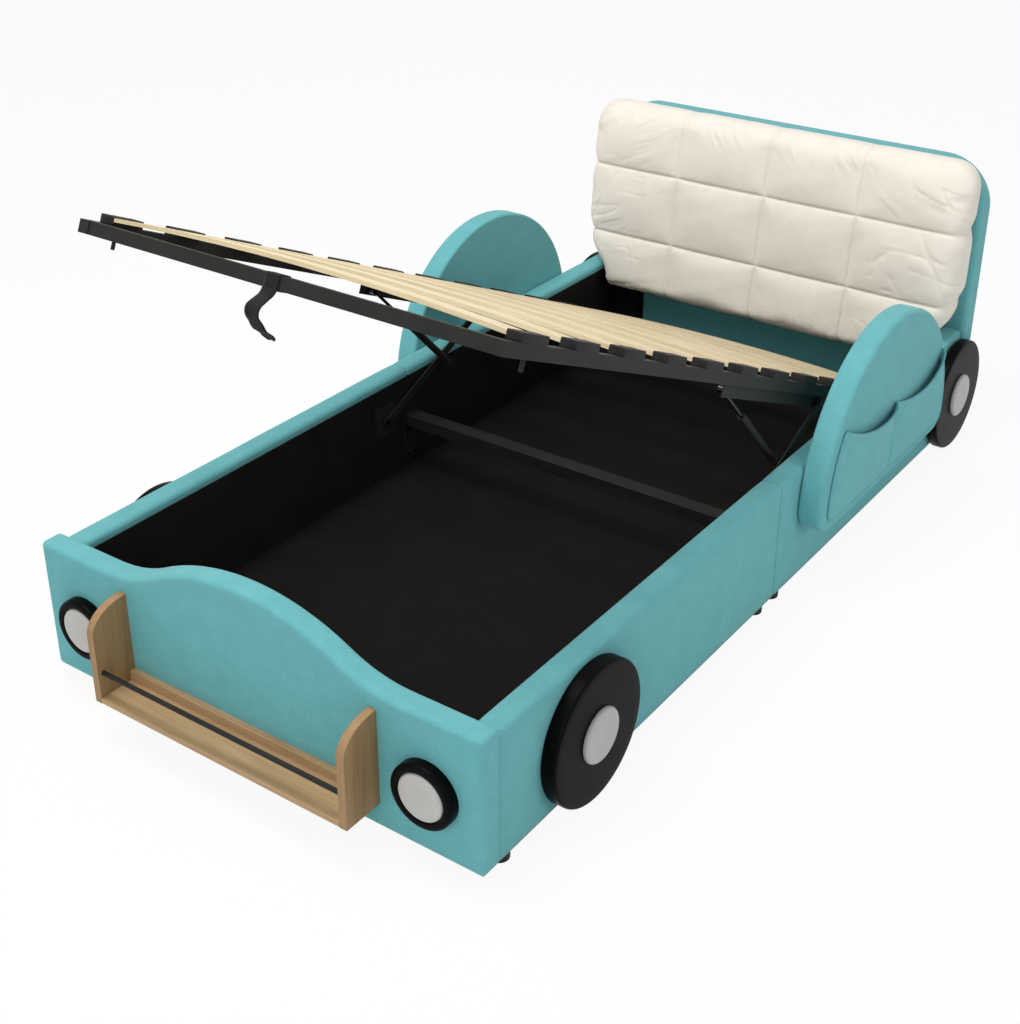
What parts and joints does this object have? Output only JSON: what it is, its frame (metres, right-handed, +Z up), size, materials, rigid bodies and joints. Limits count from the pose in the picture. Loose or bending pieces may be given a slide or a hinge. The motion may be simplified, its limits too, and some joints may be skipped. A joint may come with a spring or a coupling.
{
  "type": "upholstered storage bed",
  "caption": "Car-shaped upholstered child's bed with a gas-lift slatted platform over a storage box, quilted headboard, nose shelf, disc wheels and side pockets.",
  "frame": {"origin": "on the floor, in the middle of the bed's length and width", "axes": "+Z up, +Y from the nose to the headboard, +X to the side seen on the right in the picture"},
  "size_m": [1.24, 2.342, 0.9858],
  "materials": {
    "teal_velvet": "short pile velvet",
    "cream_velvet": "soft tufted velvet",
    "core_board": "raw particle board",
    "black_lining": "black faced hardboard",
    "pine_batten": "planed pine",
    "black_lacquer": "satin black lacquer on fibreboard",
    "light_cap": "satin moulded",
    "lamp_lens": "satin moulded",
    "shelf_wood": "clear lacquered oak",
    "black_steel": "matt powder coat",
    "bright_steel": "black zinc plated",
    "slat_wood": "bent birch plywood",
    "black_plastic": "moulded",
    "black_webbing": "woven webbing"
  },
  "bodies": {
    "root": {"front_panel_cover": "teal_velvet", "side_rail_cover_front_left": "teal_velvet", "side_rail_cover_front_right": "teal_velvet", "side_rail_cover_rear_left": "teal_velvet", "side_rail_cover_rear_right": "teal_velvet", "headboard_cover": "teal_velvet", "side_disc_cover_left": "teal_velvet", "side_disc_cover_right": "teal_velvet", "side_pocket_left": "teal_velvet", "side_pocket_right": "teal_velvet", "headboard_cushion": "cream_velvet", "front_panel_board": "core_board", "headboard_board": "core_board", "side_disc_boards": "core_board", "side_rail_board_front_left": "core_board", "side_rail_board_front_right": "core_board", "side_rail_board_rear_left": "core_board", "side_rail_board_rear_right": "core_board", "box_lining": "black_lining", "floor_panels": "black_lining", "corner_blocks": "black_lining", "floor_bearers": "pine_batten", "front_ledge": "pine_batten", "wheel_front_left": "black_lacquer", "wheel_front_right": "black_lacquer", "wheel_rear_left": "black_lacquer", "wheel_rear_right": "black_lacquer", "headlight_rings": "black_lacquer", "hub_caps": "light_cap", "headlight_lenses": "lamp_lens", "shelf_sides": "shelf_wood", "shelf_base": "shelf_wood", "shelf_back_strip": "shelf_wood", "shelf_rod": "black_steel", "cross_beam": "black_steel", "joint_plates": "black_steel", "corner_angles": "black_steel", "lift_base_plates": "black_steel", "joint_bolts": "bright_steel", "base_pins": "bright_steel", "panel_feet": "black_plastic"},
    "lift_arm_right": {"lift_arm_right": "black_steel"},
    "lift_arm_left": {"lift_arm_left": "black_steel"},
    "rear_arm_right": {"rear_arm_right": "black_steel"},
    "rear_arm_left": {"rear_arm_left": "black_steel"},
    "gas_cylinder_right": {"gas_cylinder_right": "black_steel"},
    "gas_cylinder_left": {"gas_cylinder_left": "black_steel"},
    "gas_rod_right": {"gas_rod_right": "bright_steel"},
    "gas_rod_left": {"gas_rod_left": "bright_steel"},
    "platform": {"platform_tube_left": "black_steel", "platform_tube_right": "black_steel", "platform_tube_foot": "black_steel", "platform_tube_head": "black_steel", "tube_plugs": "black_plastic", "slats": "slat_wood", "slat_caps": "black_plastic", "platform_brackets": "black_steel", "bracket_pins": "bright_steel", "platform_pegs": "black_plastic", "pull_strap": "black_webbing"}
  },
  "joints": [
    {"name": "platform_lift", "type": "hinge", "parent": "root", "child": "lift_arm_right", "pos_m": [0.486, -0.06642, 0.20162], "axis": [1, 0, 0], "range_deg": [-20.79, 0], "stiffness_Nm_per_rad": 60, "springref_deg": 143.24},
    {"name": "platform_tilt", "type": "hinge", "parent": "lift_arm_right", "child": "platform", "pos_m": [0.486, 0.32674, 0.3759], "axis": [1, 0, 0], "range_deg": [0, 44.85], "deforming": ["pull_strap"]},
    {"name": "lift_arm_left_pivot", "type": "hinge", "parent": "root", "child": "lift_arm_left", "pos_m": [-0.486, -0.06642, 0.20162], "axis": [1, 0, 0], "range_deg": [-20.8, 0]},
    {"name": "rear_arm_right_pivot", "type": "hinge", "parent": "root", "child": "rear_arm_right", "pos_m": [0.486, 0.68033, 0.12373], "axis": [1, 0, 0], "range_deg": [-38.2, 0]},
    {"name": "rear_arm_left_pivot", "type": "hinge", "parent": "root", "child": "rear_arm_left", "pos_m": [-0.486, 0.68033, 0.12373], "axis": [1, 0, 0], "range_deg": [-38.2, 0]},
    {"name": "gas_spring_right_pivot", "type": "hinge", "parent": "lift_arm_right", "child": "gas_cylinder_right", "pos_m": [0.463, 0.15782, 0.2879], "axis": [1, 0, 0], "range_deg": [0, 62.2]},
    {"name": "gas_spring_left_pivot", "type": "hinge", "parent": "lift_arm_left", "child": "gas_cylinder_left", "pos_m": [-0.463, 0.15782, 0.2879], "axis": [1, 0, 0], "range_deg": [0, 62.2]},
    {"name": "gas_rod_right_slide", "type": "slide", "parent": "gas_cylinder_right", "child": "gas_rod_right", "axis": [0, -0.6985, 0.7156], "range_m": [-0.0986, 0]},
    {"name": "gas_rod_left_slide", "type": "slide", "parent": "gas_cylinder_left", "child": "gas_rod_left", "axis": [0, -0.6985, 0.7156], "range_m": [-0.0986, 0]}
  ],
  "couplings": [
    {"joint": "platform_tilt", "follows": "platform_lift", "ratio": -2.1568},
    {"joint": "lift_arm_left_pivot", "follows": "platform_lift", "ratio": 1},
    {"joint": "rear_arm_right_pivot", "follows": "platform_lift", "ratio": 1.8369},
    {"joint": "rear_arm_left_pivot", "follows": "platform_lift", "ratio": 1.8369},
    {"joint": "gas_spring_right_pivot", "follows": "platform_lift", "ratio": -2.9893},
    {"joint": "gas_spring_left_pivot", "follows": "platform_lift", "ratio": -2.9893},
    {"joint": "gas_rod_right_slide", "follows": "platform_lift", "m_per_rad": 0.27171},
    {"joint": "gas_rod_left_slide", "follows": "platform_lift", "m_per_rad": 0.27171}
  ]
}
